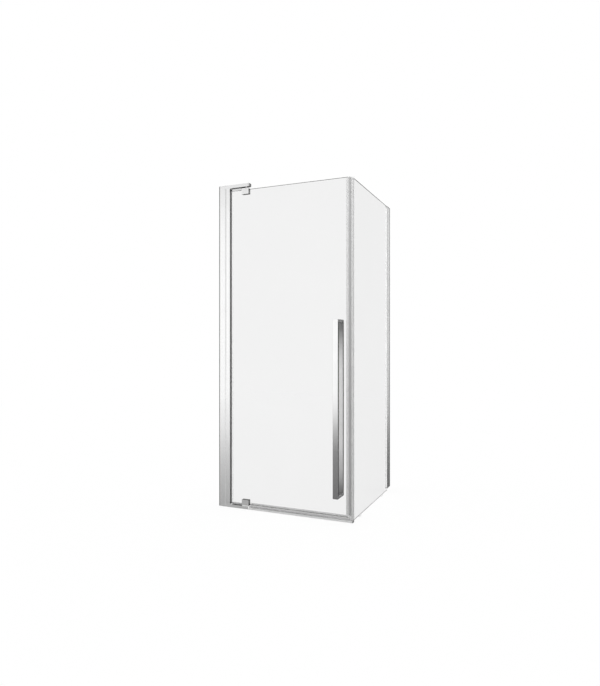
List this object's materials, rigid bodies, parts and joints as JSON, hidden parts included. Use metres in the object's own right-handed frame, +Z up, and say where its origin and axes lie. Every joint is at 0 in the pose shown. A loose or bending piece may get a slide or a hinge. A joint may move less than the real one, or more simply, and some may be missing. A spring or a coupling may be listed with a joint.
{
  "type": "corner shower enclosure with pivot door and side panel",
  "caption": "Corner shower enclosure with a framed post, a glass pivot door with a long through-glass pull handle, and a fixed glass side panel.",
  "frame": {"origin": "centre of the bounding box's base, on the floor", "axes": "+X from the hinge-side wall towards the side panel, +Y from the door towards the back wall, +Z up"},
  "size_m": [0.8874, 0.8486, 2],
  "materials": {
    "bright_aluminium": "polished and bright anodised",
    "chrome": "polished chrome plate",
    "handle_chrome": "polished chrome plate, fine brushing",
    "stainless": "bright stainless steel",
    "clear_glass": "clear toughened glass, polished edges",
    "clear_seal": "clear flexible seal",
    "magnet_rubber": "grey magnet strip in a clear sleeve",
    "grey_gasket": "matt grey gasket",
    "silver_caps": "silver grey moulded caps",
    "white_nylon": "white bearing nylon",
    "clear_pads": "clear soft pads"
  },
  "bodies": {
    "frame": {"door_wall_channel": "bright_aluminium", "pivot_post": "bright_aluminium", "top_arm": "bright_aluminium", "bottom_arm": "bright_aluminium", "threshold": "bright_aluminium", "side_wall_channel": "bright_aluminium", "side_glazing_profile": "bright_aluminium", "top_pivot_pin": "chrome", "bottom_pivot_pin": "chrome", "door_adjust_screws": "stainless", "arm_screws": "stainless", "pivot_grub_screws": "stainless", "side_adjust_screws": "stainless", "side_glass": "clear_glass", "strike_seal": "clear_seal", "strike_magnet": "magnet_rubber", "side_outer_gasket": "grey_gasket", "side_inner_gasket": "grey_gasket", "side_edge_blocks": "grey_gasket", "door_channel_caps": "silver_caps", "side_profile_caps": "silver_caps", "threshold_end_cap": "silver_caps", "top_arm_cap": "silver_caps", "bottom_bearing_cap": "white_nylon", "side_setting_blocks": "clear_pads"},
    "door": {"door_glass": "clear_glass", "top_clamp_outer": "chrome", "top_clamp_inner": "chrome", "bottom_clamp_outer": "chrome", "bottom_clamp_inner": "chrome", "clamp_pads": "clear_pads", "clamp_screws": "stainless", "top_pivot_bush": "white_nylon", "bottom_pivot_bush": "white_nylon", "handle_outer": "handle_chrome", "handle_inner": "handle_chrome", "handle_studs": "stainless", "handle_sleeves": "clear_pads", "handle_washers": "clear_pads", "closing_seal": "clear_seal", "closing_magnet": "magnet_rubber", "door_bottom_seal": "clear_seal", "hinge_bottom_seal": "clear_seal", "hinge_top_seal": "clear_seal", "hinge_edge_seal": "clear_seal"}
  },
  "joints": [
    {"name": "door_swing", "type": "hinge", "parent": "frame", "child": "door", "pos_m": [-0.25625, -0.37125, 0], "axis": [0, 0, -1], "range_deg": [0, 100]}
  ]
}
